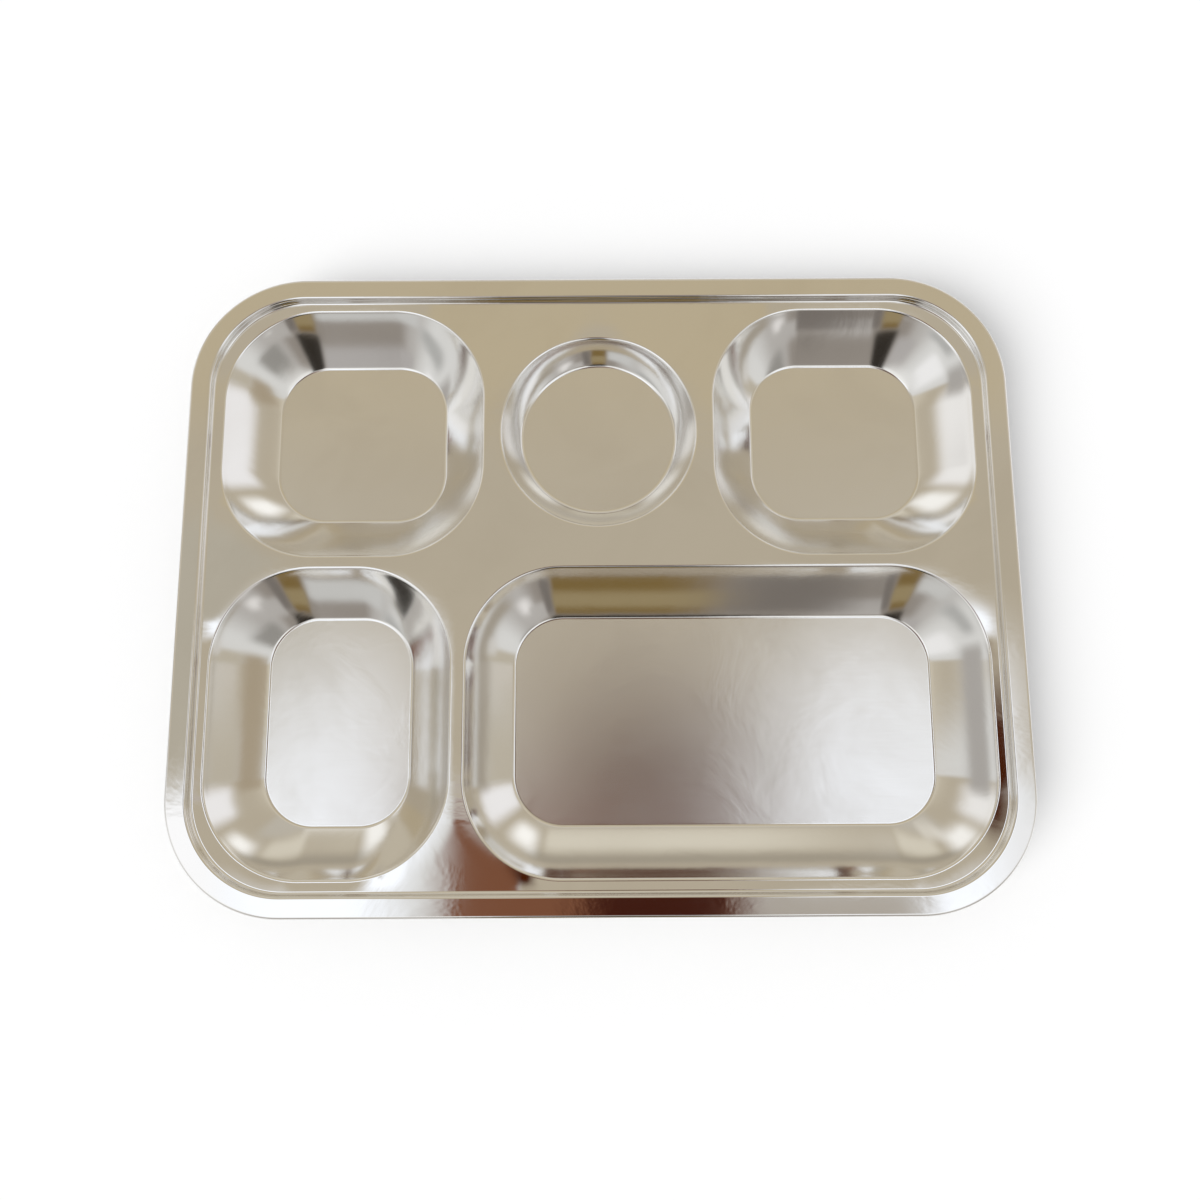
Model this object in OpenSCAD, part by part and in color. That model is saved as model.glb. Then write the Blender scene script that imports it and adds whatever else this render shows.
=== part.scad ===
// Divided compartment plate: one pressed sheet of stainless steel with a rolled edge,
// a raised rim and five wells. The sheet is divided at its bend lines, so every formed
// zone is a solid of its own and neighbouring zones meet face to face.
// Millimetres. X runs along the long side, Y to the back, Z up.
// The plate stands on Z = 0, centred on the origin.

/* [Sheet] */
// Thickness of the steel sheet
sheet_t = 0.6; // [0.4:0.1:0.8]

/* [Rim] */
// Length of the plate over its rolled edge, left to right
plate_w = 290; // [270:1:330]
// Width of the plate over its rolled edge, front to back
plate_d = 222.5; // [210:0.5:250]
// Radius of the four outer corners, in plan
plate_corner_r = 40; // [30:1:48]
// Outer radius of the rolled edge
edge_r = 1.2; // [1:0.1:2]
// Angle that the edge is rolled through, out, down and back under the rim
edge_roll = 250; // [180:5:270]
// Width of the flat part of the rim
flange_w = 5.2; // [4:0.2:9]
// Height of the rim above the deck
step_h = 3; // [2:0.1:5]
// Distance in plan between the rim and the deck
step_run = 2.2; // [2:0.1:4]
// Radius of the bend at the top of the rim's step
step_top_r = 1; // [0.9:0.1:1.4]
// Radius of the bend at the foot of the rim's step
step_foot_r = 1; // [0.5:0.1:1.4]

/* [Layout] */
// Strip of deck between the rim's step and the wells at the left and right
side_strip = 2.1; // [1:0.1:6]
// Strip of deck between the rim's step and the back row of wells
back_strip = 1.6; // [1:0.1:6]
// Strip of deck between the rim's step and the front row of wells
front_strip = 2.7; // [1:0.1:6]
// Strip of deck between the back row and the front row
row_strip = 2.9; // [1.5:0.1:8]
// Strip of deck between the two front wells
front_divider = 3.6; // [1.5:0.1:8]
// Strip of deck between the round well and each of its neighbours
round_divider = 4.7; // [1.5:0.1:8]
// Length of the back row of wells, front to back
back_row_d = 91.8; // [84:0.2:100]
// Width of the front left well
front_left_w = 83.8; // [80:0.2:110]

/* [Wells] */
// Diameter of the round well at the deck
round_well_d = 71; // [56:0.5:80]
// Depth of the round well below the deck
round_depth = 9.5; // [7:0.1:16]
// Distance in plan from the round well's rim to its floor
round_run = 8.6; // [6:0.1:14]
// Depth of the four corner wells below the deck
well_depth = 15; // [12:0.1:22]
// Distance in plan from a corner well's rim to its floor
well_run = 17.2; // [12:0.1:20]
// Corner radius of the corner wells at the deck, in plan
well_corner_r = 34; // [24:0.5:38]
// Radius of the bend from the deck into a well
lip_r = 1.2; // [0.9:0.1:2.5]
// Radius of the bend from a well's wall to its floor
floor_bend_r = 2; // [1:0.1:3.5]

/* [Hidden] */
$fn = 96;
// Widest step, in degrees, that the section of a bend is drawn in
bend_step = 10;

// Heights of the upper faces
floor_z = sheet_t;
deck_z = floor_z + well_depth;
rim_z = deck_z + step_h;
round_floor_z = deck_z - round_depth;

// Distances in from the outer edge, in plan
flange_inset = edge_r;
step_inset = flange_inset + flange_w;
deck_inset = step_inset + step_run;

// Limits of the well field
field_x = plate_w / 2 - deck_inset - side_strip;
field_back = plate_d / 2 - deck_inset - back_strip;
field_front = -(plate_d / 2 - deck_inset - front_strip);
back_row_y = field_back - back_row_d;
front_row_y = back_row_y - row_strip;

// Limits of the corner wells at the deck: left, front, right, back
round_r = round_well_d / 2;
round_centre = [0, (back_row_y + field_back) / 2];
back_well_x = round_r + round_divider;
front_left_x = -field_x + front_left_w;
front_right_x = front_left_x + front_divider;
BACK_LEFT = [-field_x, back_row_y, -back_well_x, field_back];
BACK_RIGHT = [back_well_x, back_row_y, field_x, field_back];
FRONT_LEFT = [-field_x, field_front, front_left_x, front_row_y];
FRONT_RIGHT = [front_right_x, field_front, field_x, front_row_y];

POLISHED = [0.74, 0.70, 0.61];
SATIN = [0.80, 0.79, 0.77];

// Width, length and middle of a rectangle given by its limits
function size_of(limits) = [limits[2] - limits[0], limits[3] - limits[1]];
function middle_of(limits) = [limits[0] + limits[2], limits[1] + limits[3]] / 2;

// A point on a circle
function on_circle(centre, radius, angle) = centre + radius * [cos(angle), sin(angle)];

// Slope of a wall that leaves one level by a bend and meets another by a second bend,
// where bends is the sum of the two radii
function wall_slope(run, drop, bends) =
    2 * atan(drop / (run + sqrt(run * run + drop * (drop - 2 * bends))));

// Filled rectangle with round corners, centred
module rounded_area(size, corner_r) {
    square([size[0] - 2 * corner_r, size[1]], center = true);
    square([size[0], size[1] - 2 * corner_r], center = true);
    for (x = [-1, 1], y = [-1, 1])
        translate([x * (size[0] / 2 - corner_r), y * (size[1] / 2 - corner_r)])
            circle(r = corner_r);
}

// Points of an arc, in equal steps
function arc(centre, radius, from, turn) =
    let (steps = ceil(abs(turn) / bend_step))
    [for (i = [0:steps]) on_circle(centre, radius, from + turn * i / steps)];

// Section of the sheet from an upper level, which ends at upper, down and inwards to a lower one
module drop_section(upper, run, drop, upper_r, lower_r) {
    slope = wall_slope(run, drop, upper_r + lower_r);
    upper_c = upper - [0, upper_r];
    lower_c = upper + [-run, lower_r - drop];
    polygon(concat(
        arc(upper_c, upper_r, 90, slope),
        arc(lower_c, lower_r, 270 + slope, -slope),
        arc(lower_c, lower_r + sheet_t, 270, slope),
        arc(upper_c, upper_r - sheet_t, 90 + slope, -slope)
    ));
}

// Section of the sheet rolled outwards and under, from a flat that ends at flat_end
module roll_section(flat_end, outer_r, turn) {
    centre = flat_end - [0, outer_r];
    polygon(concat(
        arc(centre, outer_r, 90, -turn),
        arc(centre, outer_r - sheet_t, 90 - turn, turn)
    ));
}

// Carries a section round a rectangle with round corners. The section's X is measured
// from the centres of the corners, which lie span apart.
module carry_round(span) {
    for (turn = [0:3]) {
        along = turn % 2 == 0 ? span[1] : span[0];
        out = turn % 2 == 0 ? span[0] : span[1];
        rotate([0, 0, 90 * turn]) {
            translate([out / 2, along / 2, 0])
                rotate_extrude(angle = 90)
                    children();
            translate([out / 2, 0, 0])
                rotate([90, 0, 0])
                    linear_extrude(along, center = true)
                        children();
        }
    }
}

// Carries a section round the plate. The section's X is measured from the corner centres.
module carry_round_plate() {
    carry_round([plate_w, plate_d] - 2 * plate_corner_r * [1, 1])
        children();
}

// Bend, sloping wall and floor bend of a corner well
module well_wall(limits) {
    centre = middle_of(limits);
    translate([centre[0], centre[1], 0])
        carry_round(size_of(limits) - 2 * well_corner_r * [1, 1])
            drop_section([well_corner_r, deck_z], well_run, well_depth, lip_r, floor_bend_r);
}

// Flat floor of a corner well
module well_floor(limits) {
    centre = middle_of(limits);
    translate([centre[0], centre[1], floor_z - sheet_t])
        linear_extrude(sheet_t)
            rounded_area(size_of(limits) - 2 * well_run * [1, 1], well_corner_r - well_run);
}

// Opening of a corner well in the deck
module well_opening(limits) {
    translate(middle_of(limits))
        rounded_area(size_of(limits), well_corner_r);
}

module rolled_edge() {
    color(POLISHED)
        carry_round_plate()
            roll_section([plate_corner_r - flange_inset, rim_z], edge_r, edge_roll);
}

module rim_flange() {
    color(POLISHED)
        carry_round_plate()
            translate([plate_corner_r - step_inset, rim_z - sheet_t])
                square([flange_w, sheet_t]);
}

module rim_step() {
    color(POLISHED)
        carry_round_plate()
            drop_section([plate_corner_r - step_inset, rim_z], step_run, step_h, step_top_r, step_foot_r);
}

module deck_plate() {
    color(POLISHED)
        translate([0, 0, deck_z - sheet_t])
            linear_extrude(sheet_t)
                difference() {
                    rounded_area([plate_w, plate_d] - 2 * deck_inset * [1, 1], plate_corner_r - deck_inset);
                    for (limits = [BACK_LEFT, BACK_RIGHT, FRONT_LEFT, FRONT_RIGHT])
                        well_opening(limits);
                    translate(round_centre)
                        circle(r = round_r);
                }
}

module back_left_wall() {
    color(SATIN)
        well_wall(BACK_LEFT);
}

module back_left_floor() {
    color(SATIN)
        well_floor(BACK_LEFT);
}

module round_wall() {
    color(SATIN)
        translate([round_centre[0], round_centre[1], 0])
            rotate_extrude()
                drop_section([round_r, deck_z], round_run, round_depth, lip_r, floor_bend_r);
}

module round_floor() {
    color(SATIN)
        translate([round_centre[0], round_centre[1], round_floor_z - sheet_t])
            cylinder(h = sheet_t, r = round_r - round_run);
}

module back_right_wall() {
    color(SATIN)
        well_wall(BACK_RIGHT);
}

module back_right_floor() {
    color(SATIN)
        well_floor(BACK_RIGHT);
}

module front_left_wall() {
    color(SATIN)
        well_wall(FRONT_LEFT);
}

module front_left_floor() {
    color(SATIN)
        well_floor(FRONT_LEFT);
}

module front_right_wall() {
    color(SATIN)
        well_wall(FRONT_RIGHT);
}

module front_right_floor() {
    color(SATIN)
        well_floor(FRONT_RIGHT);
}

rolled_edge();
rim_flange();
rim_step();
deck_plate();
back_left_wall();
back_left_floor();
round_wall();
round_floor();
back_right_wall();
back_right_floor();
front_left_wall();
front_left_floor();
front_right_wall();
front_right_floor();
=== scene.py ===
"""Divided compartment plate of pressed stainless steel: its pieces, finishes and studio.

Each formed zone of the sheet is modelled at the place and size of its node in the frame.
Metres. X runs along the long side, Y to the back, Z up.
"""

from collections import namedtuple
from math import asin, atan2, ceil, cos, hypot, pi, radians, sin, tan

import bpy
import numpy as np
from bpy.props import FloatProperty, FloatVectorProperty, IntProperty, PointerProperty
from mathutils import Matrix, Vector


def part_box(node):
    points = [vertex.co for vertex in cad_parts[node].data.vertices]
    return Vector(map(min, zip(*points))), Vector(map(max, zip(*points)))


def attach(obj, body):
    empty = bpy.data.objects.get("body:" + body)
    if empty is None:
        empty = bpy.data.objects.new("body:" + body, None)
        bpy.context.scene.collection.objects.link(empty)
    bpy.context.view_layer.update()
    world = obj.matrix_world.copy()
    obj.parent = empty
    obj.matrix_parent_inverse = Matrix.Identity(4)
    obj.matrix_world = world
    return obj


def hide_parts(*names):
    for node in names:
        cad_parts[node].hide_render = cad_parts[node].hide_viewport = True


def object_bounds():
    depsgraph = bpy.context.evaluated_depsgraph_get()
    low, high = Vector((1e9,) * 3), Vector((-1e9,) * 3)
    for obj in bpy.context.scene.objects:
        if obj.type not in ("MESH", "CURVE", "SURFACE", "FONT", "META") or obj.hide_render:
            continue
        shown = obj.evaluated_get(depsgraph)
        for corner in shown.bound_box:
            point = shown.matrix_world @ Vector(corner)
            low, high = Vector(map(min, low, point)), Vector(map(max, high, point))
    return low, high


bl_info = {
    "name": "Divided compartment plate",
    "version": (1, 0, 0),
    "blender": (4, 5, 0),
    "location": "3D View > Sidebar > Plate",
    "description": "Models a pressed steel plate with five wells around its packed frame",
    "category": "Object",
}

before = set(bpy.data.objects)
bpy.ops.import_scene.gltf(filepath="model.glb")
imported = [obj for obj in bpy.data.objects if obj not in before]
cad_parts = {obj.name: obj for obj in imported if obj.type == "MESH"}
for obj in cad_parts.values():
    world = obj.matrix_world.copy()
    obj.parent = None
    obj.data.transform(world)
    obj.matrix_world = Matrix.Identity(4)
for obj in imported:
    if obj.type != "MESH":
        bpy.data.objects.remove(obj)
CAD_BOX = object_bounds()

MM = 0.001  # in metres
BODY = "root"
WELD = 1e-6
NUDGE = 0.01 * MM  # step for the slope of a distance
DECK_WELD = 0.03 * MM
DECK_SLIVER = 0.02 * MM
CUT_REACH = 5 * MM
FLOOR_SIZE = 20  # metres
SMOOTH_ANGLE = radians(40)
LEAN_FADE = 5  # strip widths over which a strip's lean ends
CORNER_WELLS = ("back_left", "back_right", "front_left", "front_right")
ROUND_WELL = "round"


class PlateForm(bpy.types.PropertyGroup):
    """Sizes of the pressed sheet that the frame's boxes don't give."""

    plate_corner: FloatProperty(
        name="Plate corner",
        description="Radius of the plate's outer corners, in plan",
        default=40 * MM,
        unit="LENGTH",
    )
    well_corner: FloatProperty(
        name="Well corner",
        description="Radius of a corner well's corners at the deck, in plan",
        default=34 * MM,
        unit="LENGTH",
    )
    edge_roll: FloatProperty(
        name="Edge roll",
        description="Angle that the outer edge is rolled through, out, down and under",
        default=radians(250),
        subtype="ANGLE",
    )
    step_bend: FloatProperty(
        name="Step bend",
        description="Radius of the two bends between the rim and the deck",
        default=1.0 * MM,
        unit="LENGTH",
    )
    lip_bend: FloatProperty(
        name="Lip bend",
        description="Radius of the bend from the deck into a well",
        default=1.2 * MM,
        unit="LENGTH",
    )
    floor_bend: FloatProperty(
        name="Floor bend",
        description="Radius of the bend from a well's wall to its floor",
        default=2.0 * MM,
        unit="LENGTH",
    )
    wall_bow: FloatProperty(
        name="Wall bow",
        description="Angle that a well's wall is steeper by under its lip than above its floor",
        default=radians(16),
        subtype="ANGLE",
    )
    land: FloatProperty(
        name="Land",
        description="Width of the flat strip with which a bend meets the next zone",
        default=0.12 * MM,
        unit="LENGTH",
    )
    draw_in: FloatProperty(
        name="Draw-in",
        description="Depth that the deck is drawn down by along the wells",
        default=0.08 * MM,
        unit="LENGTH",
    )
    draw_in_width: FloatProperty(
        name="Draw-in width",
        description="Width of the deck that is drawn down beside a well",
        default=6.0 * MM,
        unit="LENGTH",
    )
    strip_lean: FloatProperty(
        name="Strip lean",
        description="Angle by which the deck's strip between the step and a well leans into the well",
        default=radians(8.5),
        subtype="ANGLE",
    )
    strip_width: FloatProperty(
        name="Strip width",
        description="Greatest width at which the deck between the step and a well leans all the way",
        default=4.6 * MM,
        unit="LENGTH",
    )
    deck_cell: FloatProperty(
        name="Deck cell",
        description="Size of the cells that the deck is modelled in",
        default=1.0 * MM,
        unit="LENGTH",
    )
    side_cell: FloatProperty(
        name="Side cell",
        description="Length of the cells along a straight side",
        default=4.0 * MM,
        unit="LENGTH",
    )
    corner_steps: IntProperty(
        name="Corner steps",
        description="Number of cells round a quarter turn, in plan",
        default=36,
    )
    bend_steps: IntProperty(
        name="Bend steps",
        description="Number of cells round a bend's section",
        default=10,
    )


class PlateFinish(bpy.types.PropertyGroup):
    """Colours and polish of the steel."""

    steel: FloatVectorProperty(
        name="Steel",
        description="Reflected colour of the steel",
        default=(0.86, 0.85, 0.83),
        subtype="COLOR",
    )
    smudge: FloatVectorProperty(
        name="Smudge",
        description="Reflected colour of the steel under a film of handling",
        default=(0.80, 0.785, 0.755),
        subtype="COLOR",
    )
    polished_roughness: FloatProperty(
        name="Polished roughness",
        description="Mean roughness of the rim and the deck",
        default=0.055,
        subtype="FACTOR",
    )
    drawn_roughness: FloatProperty(
        name="Drawn roughness",
        description="Mean roughness of the wells' walls",
        default=0.11,
        subtype="FACTOR",
    )
    satin_roughness: FloatProperty(
        name="Satin roughness",
        description="Mean roughness of the wells' floors",
        default=0.20,
        subtype="FACTOR",
    )


class PlateStudio(bpy.types.PropertyGroup):
    """Camera and light of the studio."""

    camera_place: FloatVectorProperty(
        name="Camera place",
        description="Where the camera stands, from the middle of the deck",
        default=(0.2 * MM, -54.4 * MM, 314.9 * MM),
        subtype="TRANSLATION",
    )
    camera_pitch: FloatProperty(
        name="Camera pitch",
        description="Angle by which the camera looks to the back of straight down",
        default=radians(8.74),
        subtype="ANGLE",
    )
    camera_roll: FloatProperty(
        name="Camera roll",
        description="Angle that the camera is turned by about its own view",
        default=radians(-0.30),
        subtype="ANGLE",
    )
    focal_length: FloatProperty(
        name="Focal length",
        description="Focal length on a sensor 36 mm wide, in millimetres",
        default=27.68,
    )
    scrim: FloatVectorProperty(
        name="Scrim",
        description="Colour of the wide cloth above and behind the plate",
        default=(0.51, 0.45, 0.35),
        subtype="COLOR",
    )
    floor_colour: FloatVectorProperty(
        name="Floor colour",
        description="Colour of the floor",
        default=(0.9, 0.9, 0.9),
        subtype="COLOR",
    )
    floor_white: FloatProperty(
        name="Floor white",
        description="Share of plain white in the floor as it is seen or reflected",
        default=0.1,
        subtype="FACTOR",
    )
    fill_strength: FloatProperty(
        name="Fill strength",
        description="Strength of the even light on the floor",
        default=0.65,
    )
    key_strength: FloatProperty(
        name="Key strength",
        description="Strength of the lamp that casts the shadow",
        default=2.4,
    )
    key_turn: FloatVectorProperty(
        name="Key turn",
        description="How the lamp that casts the shadow is turned from straight down",
        default=(radians(28), radians(-45), 0),
        subtype="EULER",
    )
    key_width: FloatProperty(
        name="Key width",
        description="Angle that the lamp takes up as seen from the plate",
        default=radians(40),
        subtype="ANGLE",
    )


# Panels of the studio, from the farthest back to the nearest, each with the bounds that it has along
# two coordinates of the view from the plate. Azimuth is 0 at the front and grows to the right.
# Overhead, a panel's place is the share of its height by which it stands to the right or to the back.

Panel = namedtuple("Panel", "name across across_bounds along along_bounds softness colour")
ANYWHERE = (-1000, 1000)
PANELS = (
    Panel("Upper scrim", "turn", (88, 200), "elevation", (37, 58), (16, 8), (0.66, 0.60, 0.49)),
    Panel("Olive cloth", "right", (-0.5, 0.5), "back", (0.36, 0.62), (0.15, 0.1), (0.54, 0.46, 0.32)),
    Panel("Back rail", "turn", (152, 200), "elevation", (6.5, 12), (14, 4), (0.38, 0.34, 0.27)),
    Panel("Back cloth", "turn", (150, 200), "elevation", (25, 37), (14, 6), (0.56, 0.52, 0.45)),
    Panel("Back shelf", "turn", (166, 200), "elevation", (13.5, 23), (10, 6), (0.74, 0.69, 0.58)),
    Panel("Back shelf left", "azimuth", (-170, -154), "elevation", (22, 30), (8, 6), (0.76, 0.72, 0.64)),
    Panel("Back lamp left", "azimuth", (-156, -134), "elevation", (9, 24), (15, 8), (1.05, 1.04, 1.01)),
    Panel("Back lamp right", "azimuth", (137, 158), "elevation", (9.5, 20), (16, 7), (1.12, 1.11, 1.08)),
    Panel("Back card left", "azimuth", (-126, -98), "elevation", (8, 28), (14, 7), (0.95, 0.94, 0.93)),
    Panel("Back card right", "azimuth", (96, 124), "elevation", (6, 26), (14, 5), (0.95, 0.94, 0.95)),
    Panel("Front wall", "azimuth", ANYWHERE, "depth", (-9, 0.09), (1, 0.05), (0.76, 0.76, 0.75)),
    Panel("Front curtain", "azimuth", (-40, 54), "depth", (-9, 0.09), (26, 0.05), (0.50, 0.48, 0.46)),
    Panel("Front opening", "azimuth", (-22, 26), "depth", (-9, 0.09), (14, 0.05), (0.31, 0.28, 0.25)),
    Panel("Low card", "azimuth", (-34, -9), "elevation", (5, 16.5), (10, 5), (0.62, 0.62, 0.61)),
    Panel("Middle card", "azimuth", (-34, -12), "elevation", (31, 44), (10, 6), (0.47, 0.45, 0.44)),
    Panel("Batten left", "azimuth", (-104, -80), "elevation", (13, 26), (14, 4), (0.44, 0.42, 0.40)),
    Panel("Grey card", "azimuth", (-68, -38), "elevation", (14, 22), (14, 6), (0.46, 0.46, 0.45)),
    Panel("High card left", "azimuth", (-82, -56), "elevation", (28, 42), (12, 5), (0.96, 0.96, 0.97)),
    Panel("Batten right", "azimuth", (42, 98), "elevation", (4, 11), (14, 4), (0.38, 0.34, 0.28)),
    Panel("Side cloth", "azimuth", (80, 93), "elevation", (10, 28), (7, 5), (0.54, 0.49, 0.40)),
    Panel("Slat right", "azimuth", (73, 86), "elevation", (9.6, 14), (8, 3), (0.70, 0.68, 0.65)),
    Panel("Lamp front right", "azimuth", (28, 39), "elevation", (11.5, 19), (10, 5), (0.88, 0.86, 0.85)),
    Panel("Rail front right", "azimuth", (34, 64), "elevation", (28, 41), (14, 6), (0.32, 0.31, 0.29)),
    Panel("Rail right", "azimuth", (80, 103), "elevation", (28, 38), (12, 5), (0.42, 0.35, 0.25)),
    Panel("Board right", "azimuth", (15.5, 32), "elevation", (16.5, 27.5), (5, 4), (0.50, 0.48, 0.46)),
    Panel("High front", "azimuth", (-75, 75), "elevation", (45, 70), (16, 5), (0.98, 0.98, 0.97)),
    Panel("Softbox left", "right", (-0.42, -0.22), "back", (-0.36, 0.10), (0.10, 0.12), (1.16, 1.21, 1.30)),
    Panel("Softbox right", "right", (0.20, 0.44), "back", (-0.36, 0.10), (0.10, 0.14), (1.16, 1.21, 1.30)),
    Panel("Side cut", "right", (-0.60, -0.35), "back", (-0.03, 0.25), (0.06, 0.06), (0.50, 0.46, 0.38)),
    Panel("Wing left", "right", (-0.70, -0.40), "back", (-0.36, -0.06), (0.06, 0.05), (1.12, 1.13, 1.16)),
    Panel("Wing right", "right", (0.42, 0.70), "back", (-0.36, -0.08), (0.06, 0.06), (0.96, 0.97, 1.0)),
    Panel("Front card", "right", (0.16, 0.34), "back", (-0.24, -0.14), (0.05, 0.05), (0.47, 0.43, 0.38)),
    Panel("Brown flag", "right", (-0.165, 0.15), "back", (-0.26, -0.06), (0.05, 0.06), (0.21, 0.085, 0.045)),
    Panel("Dark flag", "right", (-0.02, 0.14), "back", (-0.26, -0.12), (0.06, 0.05), (0.055, 0.012, 0.006)),
    Panel("Black flag", "right", (-0.04, 0.15), "back", (-0.09, 0.05), (0.10, 0.1), (0.06, 0.01, 0.0)),
    Panel("Front flag", "azimuth", (-10, 12), "elevation", (27, 56), (7, 4), (0.03, 0.025, 0.02)),
    Panel("High gap", "azimuth", (-14, 16), "elevation", (56, 72), (7, 4), (0.52, 0.50, 0.48)),
    Panel("Olive board", "azimuth", (-8, 7), "elevation", (-5, 25.5), (5, 3), (0.20, 0.13, 0.04)),
    Panel("Khaki slat", "azimuth", (-8, 7.5), "elevation", (12.6, 21.5), (5, 4), (0.33, 0.26, 0.14)),
    Panel("Dark post", "azimuth", (8.5, 16), "elevation", (3, 24), (4, 4), (0.19, 0.17, 0.155)),
)


# Sheet sections, drawn in the XZ plane


def begin_section(start):
    """Leaves one vertex, selected in edit mode, at the start of a new section."""
    bpy.ops.object.select_all(action="DESELECT")
    bpy.ops.mesh.primitive_plane_add(size=MM)
    bpy.ops.object.mode_set(mode="EDIT")
    bpy.ops.mesh.select_all(action="SELECT")
    bpy.ops.mesh.merge(type="CENTER")
    bpy.ops.transform.translate(value=start)


def draw_straight(move, steps=1):
    """Carries the section on along a straight, in equal steps."""
    for _ in range(steps):
        bpy.ops.mesh.extrude_vertices_move(TRANSFORM_OT_translate={"value": move / steps})


def draw_bend(centre, turn, steps):
    """Carries the section on round a centre. A positive turn goes from +X towards +Z."""
    bpy.ops.mesh.spin(steps=steps, angle=turn, center=centre, axis=(0, 1, 0))


def outward(slope):
    """Direction square to a wall that falls inwards at a slope."""
    return Vector((-sin(slope), 0, cos(slope)))


def draw_drop(start, run, drop, upper_bend, lower_bend, bow, form):
    """Draws the section from an upper level, inwards and down to a lower one.

    The wall is hollow by the bow: that much steeper at its upper end than at its lower end.
    """
    land = Vector((-form.land, 0, 0))
    sloped_run = run - 2 * form.land
    bends = upper_bend + lower_bend
    reach = hypot(sloped_run, drop - bends)
    mean_slope = atan2(drop - bends, sloped_run) + asin(bends * cos(bow / 2) / reach)
    upper_slope = mean_slope + bow / 2
    lower_slope = mean_slope - bow / 2
    chord = (sloped_run - upper_bend * sin(upper_slope) - lower_bend * sin(lower_slope)) / cos(mean_slope)
    upper_centre = start + land - Vector((0, 0, upper_bend))
    lower_centre = start + Vector((form.land - run, 0, lower_bend - drop))
    begin_section(start)
    draw_straight(land)
    draw_bend(upper_centre, upper_slope, form.bend_steps)
    if bow:
        wall_bend = chord / (2 * sin(bow / 2))
        draw_bend(upper_centre + (upper_bend + wall_bend) * outward(upper_slope), -bow, 2 * form.bend_steps)
    else:
        along = Vector((-cos(mean_slope), 0, -sin(mean_slope)))
        draw_straight(chord * along, form.bend_steps // 2)
    draw_bend(lower_centre, -lower_slope, form.bend_steps)
    draw_straight(land)


def carry_round(middle, span, form):
    """Carries the section round four corner centres, which lie span apart, and closes the ring.

    The section starts at the front end of the right side.
    """
    bpy.ops.mesh.select_all(action="SELECT")
    across = Vector((span.x, 0, 0))
    along = Vector((0, span.y, 0))
    sides = ((along, 1, 1), (-across, -1, 1), (-along, -1, -1), (across, 1, -1))
    for side, x, y in sides:
        steps = max(1, round(side.length / form.side_cell))
        for _ in range(steps):
            bpy.ops.mesh.extrude_region_move(TRANSFORM_OT_translate={"value": side / steps})
        corner = middle + (x * across + y * along) / 2
        bpy.ops.mesh.spin(steps=form.corner_steps, angle=-pi / 2, center=corner, axis=(0, 0, 1))
    bpy.ops.mesh.select_all(action="SELECT")
    bpy.ops.mesh.remove_doubles(threshold=WELD)


def section_start(low, high, corner, level):
    """Where a section that is carried round a box with round corners starts."""
    return Vector((high.x, low.y + corner, level))


def corner_span(low, high, corner):
    """Distances between the corner centres of a box with round corners."""
    return high - low - 2 * Vector((corner, corner, 0))


# Sheet pieces


def face_up():
    """Turns the faces of the sheet that is edited so that the highest one looks up."""
    bpy.ops.mesh.select_all(action="SELECT")
    bpy.ops.mesh.normals_make_consistent(inside=False)
    sheet = bpy.context.edit_object
    sheet.update_from_editmode()
    highest = max(sheet.data.polygons, key=lambda face: face.center.z)
    if highest.normal.z < 0:
        bpy.ops.mesh.flip_normals()


def thicken():
    """Gives the sheet that is edited the thickness of the steel, below its faces."""
    face_up()
    bpy.ops.object.mode_set(mode="OBJECT")
    sheet = bpy.context.object
    low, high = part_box("rim_flange")
    thickness = sheet.modifiers.new("Thickness", "SOLIDIFY")
    thickness.thickness = high.z - low.z
    thickness.offset = -1
    thickness.use_even_offset = True
    bpy.ops.object.modifier_apply(modifier=thickness.name)
    return sheet


def complete(sheet, node, material):
    """Smooths a sheet, gives it its finish and lets it stand for its node."""
    bpy.ops.object.select_all(action="DESELECT")
    sheet.select_set(True)
    bpy.context.view_layer.objects.active = sheet
    bpy.ops.object.shade_smooth_by_angle(angle=SMOOTH_ANGLE)
    sheet.name = node + "_sheet"
    sheet.data.name = sheet.name
    sheet.data.materials.clear()
    sheet.data.materials.append(material)
    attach(sheet, BODY)
    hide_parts(node)


def flat_area(low, high, corner, level, form):
    """Starts a flat sheet with round corners."""
    begin_section(section_start(low, high, corner, level))
    carry_round((low + high) / 2, corner_span(low, high, corner), form)
    bpy.ops.mesh.edge_face_add()


# Draw-in of the deck beside the wells


def outline_distance(points, low, high, corner):
    """Distance in plan from a rectangle with round corners, below zero inside it."""
    middle = np.array((low + high) / 2)[:2]
    half = np.array((high - low) / 2)[:2]
    beyond = np.abs(points[:, :2] - middle) - half + corner
    outside = np.linalg.norm(np.maximum(beyond, 0), axis=1)
    inside = np.minimum(beyond.max(axis=1), 0)
    return outside + inside - corner


def well_outlines(form):
    """Box and corner radius of every well at the deck."""
    outlines = [(*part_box(name + "_wall"), form.well_corner) for name in CORNER_WELLS]
    low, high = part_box(ROUND_WELL + "_wall")
    return outlines + [(low, high, (high.x - low.x) / 2)]


def ease(numbers):
    """Numbers from 0 to 1 with a soft start and end."""
    numbers = np.clip(numbers, 0, 1)
    return numbers**2 * (3 - 2 * numbers)


def step_and_well(points, form):
    """Distances in plan of points from the step's foot and from the nearest well, as two rows."""
    low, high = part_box("deck_plate")
    corner = form.plate_corner - (CAD_BOX[1].x - high.x)
    step = -outline_distance(points, low, high, corner)
    wells = [outline_distance(points, *outline) for outline in well_outlines(form)]
    return np.array((step, np.min(wells, axis=0)))


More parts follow.
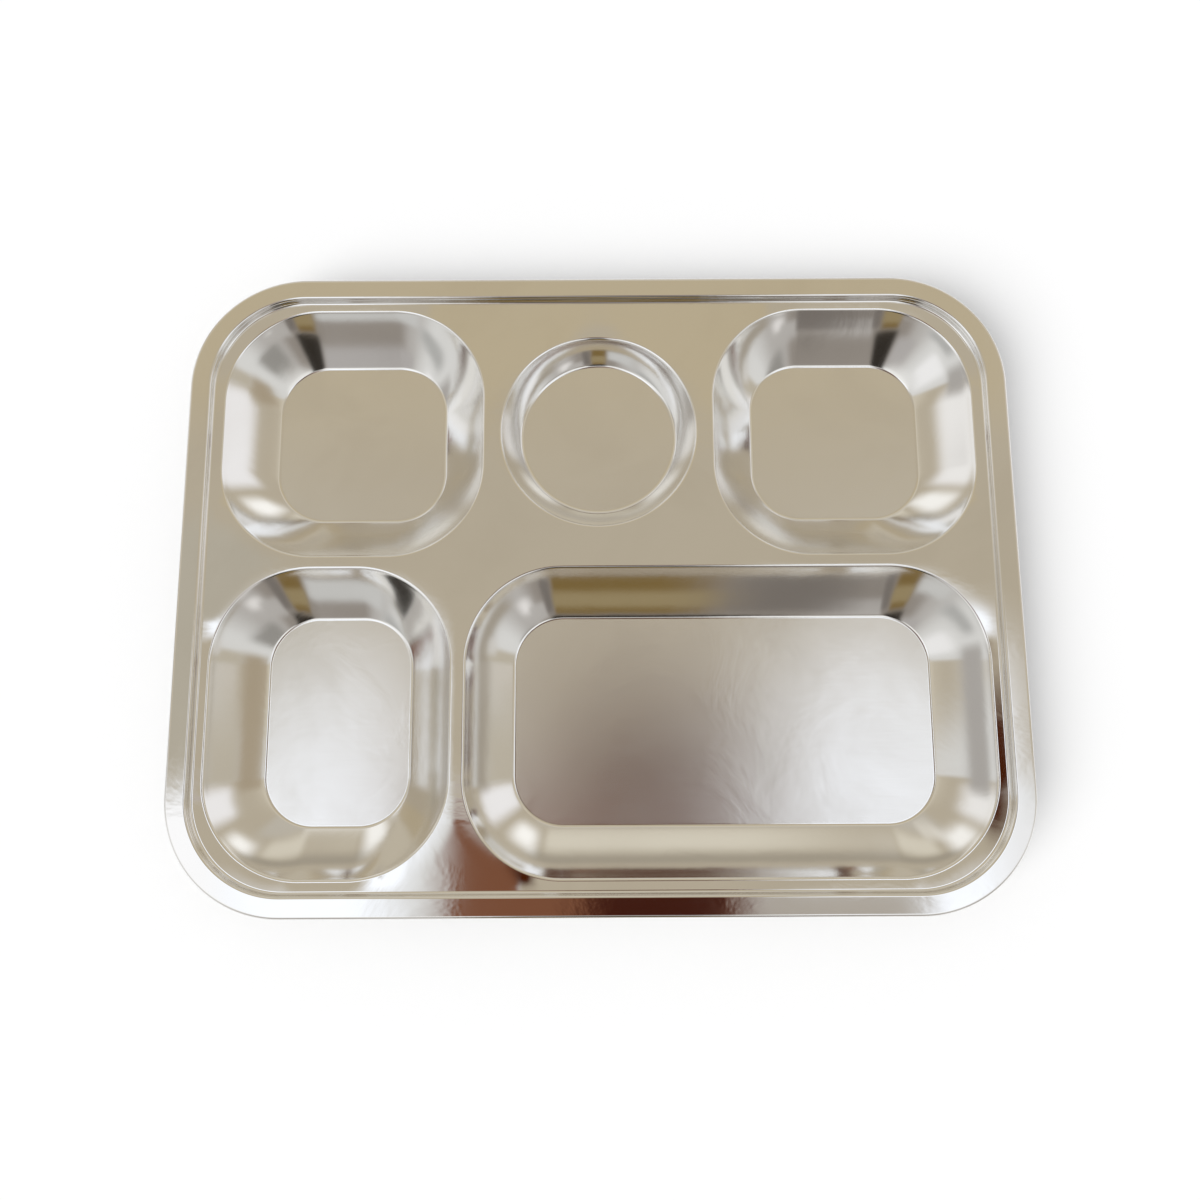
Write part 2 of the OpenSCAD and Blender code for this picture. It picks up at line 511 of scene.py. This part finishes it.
def strip_lean_depth(points, form):
    """Depth by which the strip between the step and a well leans.

    The lean ends where the strip gets wide, or where the well's outline turns away from the step.
    """
    distances = step_and_well(points, form)
    across = (step_and_well(points + (NUDGE, 0, 0), form) - distances) / NUDGE
    along = (step_and_well(points + (0, NUDGE, 0), form) - distances) / NUDGE
    opposed = -(across[0] * across[1] + along[0] * along[1])
    step, well = distances
    strip = np.maximum(step + well, WELD)
    depth = tan(form.strip_lean) * np.minimum(strip, form.strip_width)
    depth *= 1 - ease((strip / form.strip_width - 1) / LEAN_FADE)
    depth *= np.clip(4 * opposed - 3, 0, 1) ** 3
    on_deck = np.clip(step / strip, 0, 1)
    on_wall = 1 - ease(-well / (2.5 * form.draw_in_width))
    return depth * np.where(well > 0, on_deck, on_wall)


def draw_in_depth(points, form):
    """Depth that the press has drawn the sheet down by at points on the deck and the walls."""
    width = form.draw_in_width
    level = np.ones(len(points))
    for outline in well_outlines(form):
        distance = outline_distance(points, *outline)
        level *= 1 - np.clip(1 - distance / width, 0, 1) ** 2
    step, well = step_and_well(points, form)
    fade = np.clip(-well / (1.5 * width), 0, 1)
    sink = 1 - level + 3 * fade * (1 - fade) ** 2 - ease(fade)
    sink *= ease(step / (1.5 * width))
    return form.draw_in * sink + strip_lean_depth(points, form)


def draw_in(sheet, form):
    """Lowers the vertices of a sheet by the draw-in."""
    points = np.empty(len(sheet.data.vertices) * 3)
    sheet.data.vertices.foreach_get("co", points)
    points = points.reshape(-1, 3)
    points[:, 2] -= draw_in_depth(points, form)
    sheet.data.vertices.foreach_set("co", points.ravel())
    sheet.data.update()


# Node trees


def place(tree, kind, inputs=None, **settings):
    """Places a node and sets or joins its inputs, which go by name or number."""
    node = tree.nodes.new(kind)
    for name, value in settings.items():
        setattr(node, name, value)
    for name, value in (inputs or {}).items():
        if isinstance(value, bpy.types.NodeSocket):
            tree.links.new(value, node.inputs[name])
        else:
            node.inputs[name].default_value = value
    return node


def calculate(tree, operation, *values):
    """Works out a number from up to three others."""
    return place(tree, "ShaderNodeMath", dict(enumerate(values)), operation=operation).outputs[0]


def mix_colours(tree, share, first, second):
    """Mixes a share of the second colour into the first."""
    return place(tree, "ShaderNodeMix", {0: share, 6: first, 7: second}, data_type="RGBA").outputs[2]


def soft_step(tree, value, at, softness):
    """Number that rises from 0 to 1 as a value passes a bound."""
    half = calculate(tree, "MULTIPLY", softness, 0.5)
    bounds = {
        "Value": value,
        "From Min": calculate(tree, "SUBTRACT", at, half),
        "From Max": calculate(tree, "ADD", at, half),
    }
    return place(tree, "ShaderNodeMapRange", bounds, interpolation_type="SMOOTHSTEP").outputs[0]


def node_group(name, inputs, outputs):
    """Starts a group of shader nodes, and gives it with its incoming and outgoing sockets."""
    group = bpy.data.node_groups.new(name, "ShaderNodeTree")
    for side, sockets in (("INPUT", inputs), ("OUTPUT", outputs)):
        for socket, kind in sockets.items():
            group.interface.new_socket(socket, in_out=side, socket_type="NodeSocket" + kind)
    return group, group.nodes.new("NodeGroupInput").outputs, group.nodes.new("NodeGroupOutput").inputs


# Finishes


def rolling_grain():
    """Group of nodes for the fine lines that rolling leaves along the sheet."""
    inputs = {"Vector": "Vector", "Width": "Float"}
    group, given, result = node_group("Rolling grain", inputs, {"Height": "Float"})
    stretch = place(group, "ShaderNodeMapping", {"Vector": given["Vector"], "Scale": (0.02, 1, 1)})
    scale = calculate(group, "DIVIDE", 1, given["Width"])
    lines = {"Vector": stretch.outputs[0], "Scale": scale, "Detail": 3, "Roughness": 0.6}
    group.links.new(place(group, "ShaderNodeTexNoise", lines).outputs[0], result["Height"])
    return group


def hairlines():
    """Group of nodes for sparse fine scratches from use, in three directions."""
    inputs = {"Vector": "Vector", "Width": "Float"}
    group, given, result = node_group("Hairlines", inputs, {"Mask": "Float"})
    scale = calculate(group, "DIVIDE", 1, given["Width"])
    mask = 0
    for turn in (17, 74, 128):
        spin = {"Vector": given["Vector"], "Rotation": (0, 0, radians(turn)), "Scale": (0.012, 1, 1)}
        along = place(group, "ShaderNodeMapping", spin)
        lines = place(group, "ShaderNodeTexNoise", {"Vector": along.outputs[0], "Scale": scale, "Detail": 0})
        mask = calculate(group, "MAXIMUM", mask, soft_step(group, lines.outputs[0], 0.80, 0.08))
    group.links.new(mask, result["Mask"])
    return group


def specks():
    """Group of nodes for sparse tiny pits and bright points."""
    inputs = {"Vector": "Vector", "Spacing": "Float"}
    group, given, result = node_group("Specks", inputs, {"Mask": "Float"})
    scale = calculate(group, "DIVIDE", 1, given["Spacing"])
    cells = place(group, "ShaderNodeTexVoronoi", {"Vector": given["Vector"], "Scale": scale})
    near = calculate(group, "SUBTRACT", 1, soft_step(group, cells.outputs["Distance"], 0.06, 0.04))
    chance = place(group, "ShaderNodeSeparateColor", {0: cells.outputs["Color"]})
    chosen = calculate(group, "GREATER_THAN", chance.outputs[0], 0.8)
    group.links.new(calculate(group, "MULTIPLY", near, chosen), result["Mask"])
    return group


def smudges():
    """Group of nodes for the faint patches that handling and washing leave."""
    inputs = {"Vector": "Vector", "Size": "Float"}
    group, given, result = node_group("Smudges", inputs, {"Mask": "Float"})
    scale = calculate(group, "DIVIDE", 1, given["Size"])
    patches = {"Vector": given["Vector"], "Scale": scale, "Detail": 4, "Roughness": 0.55, "Distortion": 0.6}
    cloud = place(group, "ShaderNodeTexNoise", patches)
    group.links.new(soft_step(group, cloud.outputs[0], 0.56, 0.30), result["Mask"])
    return group


def shared_group(make):
    """Group of nodes that a function makes, made once for all materials."""
    name = make.__name__.replace("_", " ").capitalize()
    return bpy.data.node_groups.get(name) or make()


Wear = namedtuple("Wear", "grain_height wave_height smudge_share scratch_share")


def steel_material(name, finish, roughness, wear):
    """Finish of one zone of the steel."""
    material = bpy.data.materials.get(name)
    if material:
        return material
    material = bpy.data.materials.new(name)
    material.use_nodes = True
    tree = material.node_tree
    spot = place(tree, "ShaderNodeTexCoord").outputs["Object"]

    def effect(make, size_name, size):
        node = place(tree, "ShaderNodeGroup", node_tree=shared_group(make))
        tree.links.new(spot, node.inputs["Vector"])
        node.inputs[size_name].default_value = size
        return node.outputs[0]

    grain = effect(rolling_grain, "Width", 0.35 * MM)
    scratches = effect(hairlines, "Width", 0.25 * MM)
    points = effect(specks, "Spacing", 7 * MM)
    film = effect(smudges, "Size", 45 * MM)
    waves = effect(smudges, "Size", 28 * MM)

    shader = tree.nodes["Principled BSDF"]
    shader.inputs["Metallic"].default_value = 1
    film_share = calculate(tree, "MULTIPLY", film, wear.smudge_share)
    colour = mix_colours(tree, film_share, (*finish.steel, 1), (*finish.smudge, 1))
    tree.links.new(colour, shader.inputs["Base Color"])

    marks = calculate(tree, "MAXIMUM", scratches, points)
    marks = calculate(tree, "MULTIPLY", marks, wear.scratch_share)
    dulling = calculate(tree, "ADD", calculate(tree, "MULTIPLY", film_share, 0.03), marks)
    streaks = calculate(tree, "MULTIPLY_ADD", grain, 0.2 * roughness, 0.9 * roughness)
    tree.links.new(calculate(tree, "ADD", streaks, dulling), shader.inputs["Roughness"])

    mark_depth = 0.6 * wear.grain_height
    reliefs = ((waves, wear.wave_height), (grain, wear.grain_height), (marks, -mark_depth))
    normal = None
    for height, distance in reliefs:
        bump = place(tree, "ShaderNodeBump", {"Height": height, "Distance": distance})
        if normal:
            tree.links.new(normal, bump.inputs["Normal"])
        normal = bump.outputs[0]
    tree.links.new(normal, shader.inputs["Normal"])
    return material


def polished_steel(finish):
    """Bright finish of the rim and the deck."""
    wear = Wear(grain_height=0.0003 * MM, wave_height=0.02 * MM, smudge_share=0.5, scratch_share=0.01)
    return steel_material("Polished steel", finish, finish.polished_roughness, wear)


def drawn_steel(finish):
    """Soft shine of the wells' drawn walls."""
    wear = Wear(grain_height=0.0002 * MM, wave_height=0.015 * MM, smudge_share=0.4, scratch_share=0.005)
    return steel_material("Drawn steel", finish, finish.drawn_roughness, wear)


def satin_steel(finish):
    """Dull finish of the wells' floors."""
    wear = Wear(grain_height=0.0004 * MM, wave_height=0.02 * MM, smudge_share=0.7, scratch_share=0.012)
    return steel_material("Satin steel", finish, finish.satin_roughness, wear)


# Operators


class OBJECT_OT_plate_rim(bpy.types.Operator):
    """Model the rolled edge, the flat rim and the step down to the deck"""

    bl_idname = "object.plate_rim"
    bl_label = "Rim"

    def execute(self, context):
        form = context.scene.plate_form
        steel = polished_steel(context.scene.plate_finish)
        low, high = CAD_BOX
        middle = (low + high) / 2
        span = corner_span(low, high, form.plate_corner)

        edge_low, edge_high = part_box("rolled_edge")
        flange_low, flange_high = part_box("rim_flange")
        bend = (edge_high.z - edge_low.z) / 2 - form.land
        edge_corner = form.plate_corner - bend - form.land
        begin_section(section_start(flange_low, flange_high, edge_corner, edge_high.z))
        draw_straight(Vector((form.land, 0, 0)))
        centre = Vector((edge_high.x - bend, 0, edge_high.z - bend))
        draw_bend(centre, -form.edge_roll, 3 * form.bend_steps)
        carry_round(middle, span, form)
        complete(thicken(), "rolled_edge", steel)

        step_low, step_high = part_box("rim_step")
        flange_corner = form.plate_corner - (high.x - flange_high.x)
        begin_section(section_start(flange_low, flange_high, flange_corner, flange_high.z))
        draw_straight(Vector((step_high.x - flange_high.x, 0, 0)), form.bend_steps // 2)
        carry_round(middle, span, form)
        complete(thicken(), "rim_flange", steel)

        deck_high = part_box("deck_plate")[1]
        step_corner = form.plate_corner - (high.x - step_high.x)
        start = section_start(step_low, step_high, step_corner, step_high.z)
        run = step_high.x - deck_high.x
        drop = step_high.z - deck_high.z
        draw_drop(start, run, drop, form.step_bend, form.step_bend, 0, form)
        carry_round(middle, span, form)
        complete(thicken(), "rim_step", steel)
        return {"FINISHED"}


class OBJECT_OT_plate_deck(bpy.types.Operator):
    """Model the deck with its five openings"""

    bl_idname = "object.plate_deck"
    bl_label = "Deck"

    def execute(self, context):
        form = context.scene.plate_form
        low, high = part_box("deck_plate")
        corner = form.plate_corner - (CAD_BOX[1].x - high.x)
        deck = self.grid(low, high, form)
        self.cut(deck, "INTERSECT", low, high, corner, form)
        for well_low, well_high, well_corner in well_outlines(form):
            self.cut(deck, "DIFFERENCE", well_low, well_high, well_corner, form)
        bpy.ops.object.select_all(action="DESELECT")
        deck.select_set(True)
        context.view_layer.objects.active = deck
        bpy.ops.object.mode_set(mode="EDIT")
        bpy.ops.mesh.select_all(action="SELECT")
        bpy.ops.mesh.remove_doubles(threshold=DECK_WELD)
        bpy.ops.mesh.dissolve_degenerate(threshold=DECK_SLIVER)
        deck = thicken()
        draw_in(deck, form)
        complete(deck, "deck_plate", polished_steel(context.scene.plate_finish))
        return {"FINISHED"}

    def grid(self, low, high, form):
        """Flat grid that reaches one cell past the deck, open where the wells are."""
        size = high - low + 2 * Vector((form.deck_cell, form.deck_cell, 0))
        columns = ceil(size.x / form.deck_cell)
        rows = ceil(size.y / form.deck_cell)
        bpy.ops.object.select_all(action="DESELECT")
        bpy.ops.mesh.primitive_grid_add(x_subdivisions=columns, y_subdivisions=rows, size=1)
        bpy.ops.object.mode_set(mode="EDIT")
        bpy.ops.transform.resize(value=(size.x, size.y, 1))
        bpy.ops.transform.translate(value=(0, 0, high.z))
        bpy.ops.mesh.select_all(action="DESELECT")
        bpy.ops.object.mode_set(mode="OBJECT")
        deck = bpy.context.object
        centres = np.array([face.center for face in deck.data.polygons])
        spare = np.zeros(len(centres), bool)
        for well_low, well_high, well_corner in well_outlines(form):
            inside = -outline_distance(centres, well_low, well_high, well_corner)
            spare |= inside > 2 * form.deck_cell
        deck.data.polygons.foreach_set("select", spare)
        bpy.ops.object.mode_set(mode="EDIT")
        bpy.ops.mesh.select_mode(type="FACE")
        bpy.ops.mesh.delete(type="FACE")
        bpy.ops.mesh.select_mode(type="VERT")
        bpy.ops.object.mode_set(mode="OBJECT")
        return deck

    def cut(self, deck, operation, low, high, corner, form):
        """Trims the deck to an outline, or cuts an opening in it."""
        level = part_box("deck_plate")[1].z
        flat_area(low, high, corner, level - CUT_REACH, form)
        bpy.ops.mesh.extrude_region_move(TRANSFORM_OT_translate={"value": (0, 0, 2 * CUT_REACH)})
        bpy.ops.mesh.select_all(action="SELECT")
        bpy.ops.mesh.normals_make_consistent(inside=False)
        bpy.ops.object.mode_set(mode="OBJECT")
        cutter = bpy.context.object
        bpy.ops.object.select_all(action="DESELECT")
        deck.select_set(True)
        bpy.context.view_layer.objects.active = deck
        trim = deck.modifiers.new("Trim", "BOOLEAN")
        trim.operation = operation
        trim.solver = "EXACT"
        trim.object = cutter
        bpy.ops.object.modifier_apply(modifier=trim.name)
        bpy.data.objects.remove(cutter)


class OBJECT_OT_plate_corner_wells(bpy.types.Operator):
    """Model the walls and floors of the four corner wells"""

    bl_idname = "object.plate_corner_wells"
    bl_label = "Corner wells"

    def execute(self, context):
        form = context.scene.plate_form
        wall_steel = drawn_steel(context.scene.plate_finish)
        floor_steel = satin_steel(context.scene.plate_finish)
        for name in CORNER_WELLS:
            low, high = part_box(name + "_wall")
            floor_low, floor_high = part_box(name + "_floor")
            start = section_start(low, high, form.well_corner, high.z)
            run = high.x - floor_high.x
            drop = high.z - floor_high.z
            draw_drop(start, run, drop, form.lip_bend, form.floor_bend, form.wall_bow, form)
            carry_round((low + high) / 2, corner_span(low, high, form.well_corner), form)
            wall = thicken()
            draw_in(wall, form)
            complete(wall, name + "_wall", wall_steel)
            flat_area(floor_low, floor_high, form.well_corner - run, floor_high.z, form)
            complete(thicken(), name + "_floor", floor_steel)
        return {"FINISHED"}


class OBJECT_OT_plate_round_well(bpy.types.Operator):
    """Model the wall and floor of the round well"""

    bl_idname = "object.plate_round_well"
    bl_label = "Round well"

    def execute(self, context):
        form = context.scene.plate_form
        wall_steel = drawn_steel(context.scene.plate_finish)
        floor_steel = satin_steel(context.scene.plate_finish)
        low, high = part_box(ROUND_WELL + "_wall")
        floor_low, floor_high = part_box(ROUND_WELL + "_floor")
        middle = (low + high) / 2
        start = Vector((high.x, middle.y, high.z))
        run = high.x - floor_high.x
        drop = high.z - floor_high.z
        draw_drop(start, run, drop, form.lip_bend, form.floor_bend, form.wall_bow, form)
        self.turn(middle, form)
        wall = thicken()
        draw_in(wall, form)
        complete(wall, ROUND_WELL + "_wall", wall_steel)
        begin_section(Vector((floor_high.x, middle.y, floor_high.z)))
        self.turn(middle, form)
        bpy.ops.mesh.edge_face_add()
        complete(thicken(), ROUND_WELL + "_floor", floor_steel)
        return {"FINISHED"}

    def turn(self, middle, form):
        """Turns the section once round the middle of the well."""
        bpy.ops.mesh.select_all(action="SELECT")
        bpy.ops.mesh.spin(steps=4 * form.corner_steps, angle=2 * pi, center=middle, axis=(0, 0, 1))
        bpy.ops.mesh.select_all(action="SELECT")
        bpy.ops.mesh.remove_doubles(threshold=WELD)


class OBJECT_OT_plate_stage(bpy.types.Operator):
    """Set up the floor, the light and the camera"""

    bl_idname = "object.plate_stage"
    bl_label = "Stage"

    def execute(self, context):
        scene = context.scene
        studio = scene.plate_studio
        scene.view_settings.view_transform = "Standard"
        self.lay_floor(studio)
        self.hang_panels(scene, studio)
        self.hang_lamp(studio)
        self.place_camera(scene, studio)
        return {"FINISHED"}

    def lay_floor(self, studio):
        """Lays a wide pale floor under the plate, which is seen as white but keeps the shadow."""
        bpy.ops.object.select_all(action="DESELECT")
        bpy.ops.mesh.primitive_plane_add(size=FLOOR_SIZE)
        floor = bpy.context.object
        floor.name = "stage_floor"
        material = bpy.data.materials.new("Pale floor")
        material.use_nodes = True
        tree = material.node_tree
        tree.nodes.clear()
        path = place(tree, "ShaderNodeLightPath").outputs
        seen = calculate(tree, "MAXIMUM", path["Is Camera Ray"], path["Is Glossy Ray"])
        seen = calculate(tree, "MAXIMUM", seen, path["Is Transmission Ray"])
        share = calculate(tree, "MULTIPLY", seen, studio.floor_white)
        paper = place(tree, "ShaderNodeBsdfDiffuse", {"Color": (*studio.floor_colour, 1)})
        white = place(tree, "ShaderNodeEmission", {"Strength": 1})
        surface = place(tree, "ShaderNodeMixShader", {0: share, 1: paper.outputs[0], 2: white.outputs[0]})
        place(tree, "ShaderNodeOutputMaterial", {"Surface": surface.outputs[0]})
        floor.data.materials.append(material)

    def hang_panels(self, scene, studio):
        """Surrounds the stage with even white light, and the steel with what it reflects."""
        scene.world = bpy.data.worlds.new("Studio")
        scene.world.use_nodes = True
        tree = scene.world.node_tree
        tree.nodes.clear()
        ray = place(tree, "ShaderNodeTexCoord").outputs["Generated"]
        x, y, z = place(tree, "ShaderNodeSeparateXYZ", {0: ray}).outputs
        forward = calculate(tree, "MULTIPLY", y, -1)
        azimuth = calculate(tree, "DEGREES", calculate(tree, "ARCTAN2", x, forward))
        height = calculate(tree, "MAXIMUM", z, 0.05)
        places = {
            "azimuth": azimuth,
            "turn": calculate(tree, "ABSOLUTE", azimuth),
            "elevation": calculate(tree, "DEGREES", calculate(tree, "ARCSINE", z)),
            "right": calculate(tree, "DIVIDE", x, height),
            "back": calculate(tree, "DIVIDE", y, height),
            "depth": calculate(tree, "MULTIPLY_ADD", z, 0.14, y),
        }
        panel_group = self.panel_group()
        colour = place(tree, "ShaderNodeRGB").outputs[0]
        colour.default_value = (*studio.scrim, 1)
        for panel in PANELS:
            node = place(tree, "ShaderNodeGroup", node_tree=panel_group, label=panel.name)
            tree.links.new(places[panel.across], node.inputs["Across"])
            tree.links.new(places[panel.along], node.inputs["Along"])
            tree.links.new(colour, node.inputs["Behind"])
            bounds = (*panel.across_bounds, *panel.along_bounds, *panel.softness)
            for name, value in zip(("Left", "Right", "Near", "Far", "Side softness", "End softness"), bounds):
                node.inputs[name].default_value = value
            node.inputs["Colour"].default_value = (*panel.colour, 1)
            colour = node.outputs[0]
        path = place(tree, "ShaderNodeLightPath").outputs
        level = calculate(tree, "MAXIMUM", path["Is Camera Ray"], studio.fill_strength)
        fill = place(tree, "ShaderNodeBackground", {"Color": (1, 1, 1, 1), "Strength": level})
        panels = place(tree, "ShaderNodeBackground", {"Color": colour})
        light = {0: path["Is Glossy Ray"], 1: fill.outputs[0], 2: panels.outputs[0]}
        light = place(tree, "ShaderNodeMixShader", light)
        place(tree, "ShaderNodeOutputWorld", {"Surface": light.outputs[0]})

    def panel_group(self):
        """Group of nodes that puts one soft-edged panel before what is behind it."""
        numbers = ("Across", "Along", "Left", "Right", "Near", "Far", "Side softness", "End softness")
        inputs = {**dict.fromkeys(numbers, "Float"), "Colour": "Color", "Behind": "Color"}
        group, given, result = node_group("Panel", inputs, {"Colour": "Color"})
        mask = 1
        sides = (("Across", "Left", "Right", "Side softness"), ("Along", "Near", "Far", "End softness"))
        for value, first, last, softness in sides:
            inside = soft_step(group, given[value], given[first], given[softness])
            past = soft_step(group, given[value], given[last], given[softness])
            mask = calculate(group, "MULTIPLY", mask, calculate(group, "SUBTRACT", inside, past))
        group.links.new(mix_colours(group, mask, given["Behind"], given["Colour"]), result["Colour"])
        return group

    def hang_lamp(self, studio):
        """Hangs the wide lamp that casts the plate's shadow and isn't reflected."""
        bpy.ops.object.light_add(type="SUN", rotation=studio.key_turn)
        lamp = bpy.context.object
        lamp.data.energy = studio.key_strength
        lamp.data.angle = studio.key_width
        lamp.visible_glossy = False

    def place_camera(self, scene, studio):
        """Places the camera above the plate."""
        low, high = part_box("deck_plate")
        middle = Vector(((low.x + high.x) / 2, (low.y + high.y) / 2, high.z))
        bpy.ops.object.camera_add(location=middle + Vector(studio.camera_place))
        camera = bpy.context.object
        camera.rotation_mode = "ZYX"
        camera.rotation_euler = (studio.camera_pitch, 0, studio.camera_roll)
        camera.data.lens = studio.focal_length
        scene.camera = camera


class VIEW3D_PT_plate(bpy.types.Panel):
    """Lists the steps that model the plate"""

    bl_idname = "VIEW3D_PT_plate"
    bl_label = "Divided plate"
    bl_space_type = "VIEW_3D"
    bl_region_type = "UI"
    bl_category = "Plate"

    def draw(self, context):
        for operator in OPERATORS:
            self.layout.operator(operator.bl_idname)


GROUPS = {"plate_form": PlateForm, "plate_finish": PlateFinish, "plate_studio": PlateStudio}
OPERATORS = (
    OBJECT_OT_plate_stage,
    OBJECT_OT_plate_rim,
    OBJECT_OT_plate_deck,
    OBJECT_OT_plate_corner_wells,
    OBJECT_OT_plate_round_well,
)


def register():
    for name, group in GROUPS.items():
        bpy.utils.register_class(group)
        setattr(bpy.types.Scene, name, PointerProperty(type=group))
    for item in (*OPERATORS, VIEW3D_PT_plate):
        bpy.utils.register_class(item)


def unregister():
    for item in (VIEW3D_PT_plate, *reversed(OPERATORS)):
        bpy.utils.unregister_class(item)
    for name, group in GROUPS.items():
        delattr(bpy.types.Scene, name)
        bpy.utils.unregister_class(group)


def main():
    register()
    bpy.ops.object.plate_stage()
    bpy.ops.object.plate_rim()
    bpy.ops.object.plate_deck()
    bpy.ops.object.plate_corner_wells()
    bpy.ops.object.plate_round_well()


if __name__ == "__main__":
    main()
